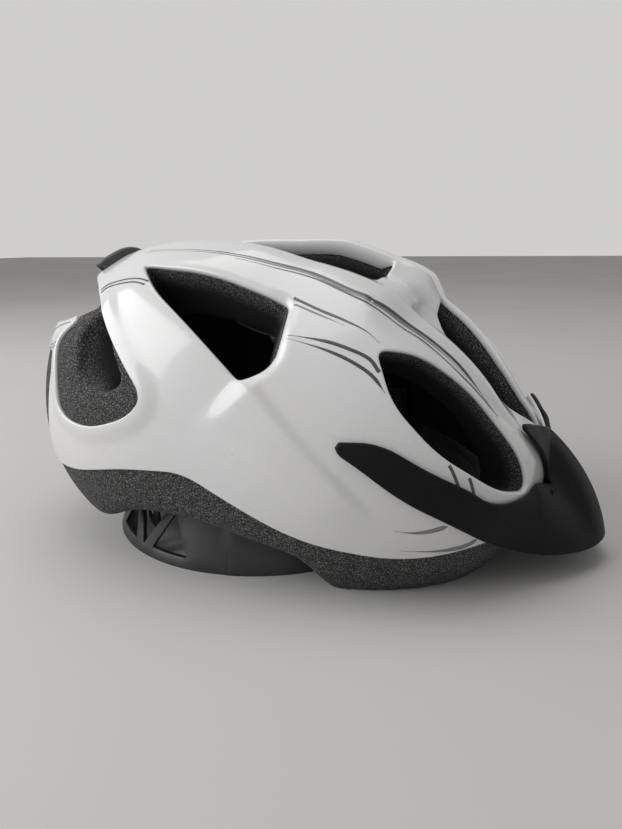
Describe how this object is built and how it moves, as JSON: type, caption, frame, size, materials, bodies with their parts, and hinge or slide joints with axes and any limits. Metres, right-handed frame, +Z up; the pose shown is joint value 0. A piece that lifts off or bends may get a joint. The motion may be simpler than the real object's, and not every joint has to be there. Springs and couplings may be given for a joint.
{
  "type": "bicycle helmet",
  "caption": "Vented white bicycle helmet with a foam liner, a push-on black visor, a dial-adjusted nape cradle and a buckled chin strap.",
  "frame": {"origin": "middle of the bounding box on the table plane", "axes": "+X towards the brow and visor, +Y to the wearer's left, +Z up from the table the helmet stands on"},
  "size_m": [0.3141, 0.2086, 0.1613],
  "materials": {
    "shell_white": "clear gloss over white",
    "foam_grey": "moulded bead foam",
    "trim_grey": "satin moulding",
    "visor_black": "fine matt grain",
    "cradle_black": "satin moulding",
    "dial_black": "satin moulding",
    "pinion_white": "plain moulding",
    "steel": "plated",
    "webbing": "woven",
    "pad_cloth": "knitted cloth over foam",
    "buckle_black": "fine matt grain"
  },
  "bodies": {
    "helmet": {"outer_shell": "shell_white", "foam_liner": "foam_grey", "rear_trim": "trim_grey", "visor_sockets": "cradle_black", "temple_bosses": "cradle_black", "brow_pad": "pad_cloth", "crown_pads": "pad_cloth", "side_pads": "pad_cloth", "strap_anchors": "buckle_black", "front_straps": "webbing", "rear_straps": "webbing", "strap_dividers": "buckle_black", "chin_strap_left": "webbing", "chin_strap_right": "webbing", "buckle_socket": "buckle_black"},
    "visor": {"visor": "visor_black"},
    "cradle": {"cradle_frame": "cradle_black", "pivot_pins": "steel", "dial_housing": "dial_black", "dial_cover": "dial_black", "cover_screws": "steel", "nape_pad": "pad_cloth"},
    "dial": {"dial_knob": "dial_black", "dial_pinion": "pinion_white"},
    "band_left": {"size_band_left": "cradle_black"},
    "band_right": {"size_band_right": "cradle_black"},
    "plug": {"buckle_plug": "buckle_black"}
  },
  "joints": [
    {"name": "visor_pull", "type": "slide", "parent": "helmet", "child": "visor", "axis": [0.9823, 0, -0.1874], "range_m": [0, 0.025]},
    {"name": "cradle_tilt", "type": "hinge", "parent": "helmet", "child": "cradle", "pos_m": [0.0073, 0, 0.03], "axis": [0, 1, 0], "range_deg": [-9, 0]},
    {"name": "dial_turn", "type": "hinge", "parent": "cradle", "child": "dial", "pos_m": [-0.0327, 0, 0.015], "axis": [1, 0, 0], "range_deg": [0, 84]},
    {"name": "band_left_slide", "type": "hinge", "parent": "cradle", "child": "band_left", "pos_m": [-0.0327, 0, 0], "axis": [0, 0, 1], "range_deg": [0, 7.2]},
    {"name": "band_right_slide", "type": "hinge", "parent": "cradle", "child": "band_right", "pos_m": [-0.0327, 0, 0], "axis": [0, 0, 1], "range_deg": [-7.2, 0]},
    {"name": "plug_release", "type": "slide", "parent": "helmet", "child": "plug", "axis": [0, -1, 0], "range_m": [0, 0.018]}
  ],
  "couplings": [
    {"joint": "band_left_slide", "follows": "dial_turn", "ratio": 0.083565},
    {"joint": "band_right_slide", "follows": "dial_turn", "ratio": -0.083565}
  ]
}
